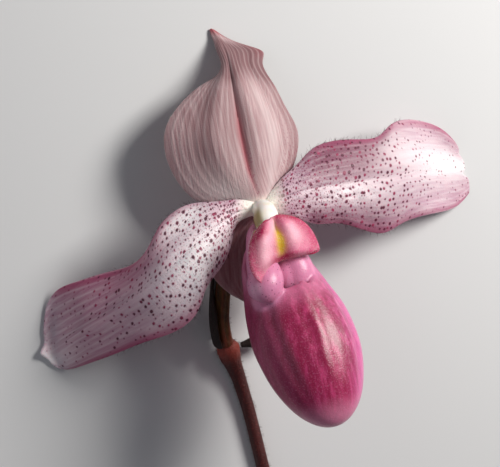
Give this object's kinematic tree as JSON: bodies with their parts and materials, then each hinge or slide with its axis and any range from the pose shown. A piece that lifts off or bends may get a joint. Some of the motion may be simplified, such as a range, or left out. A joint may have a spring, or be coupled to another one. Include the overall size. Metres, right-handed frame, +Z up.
{
  "type": "paphiopedilum orchid bloom",
  "caption": "Picked slipper orchid bloom with a pouched lip, spread petals and a short cut stem, lying face up.",
  "frame": {"origin": "centre of the footprint, on the surface that the bloom lies on", "axes": "+Z up from the surface, +Y from the cut stem towards the dorsal sepal, +X towards the petal on a viewer's right"},
  "size_m": [0.1003, 0.122, 0.0377],
  "materials": {
    "sepal": "soft satin",
    "petal": "soft satin",
    "lip": "waxy satin",
    "staminode": "waxy satin",
    "column": "waxy satin",
    "pollen": "matte",
    "ovary": "downy matte",
    "bract": "downy matte",
    "stem": "downy matte"
  },
  "bodies": {
    "root": {"dorsal_sepal": "sepal", "synsepal": "sepal", "petal_left": "petal", "petal_right": "petal", "lip_pouch": "lip", "staminode": "staminode", "column": "column", "anther_left": "pollen", "anther_right": "pollen", "ovary": "ovary", "floral_bract": "bract", "next_bud": "bract", "stem": "stem"}
  },
  "joints": []
}
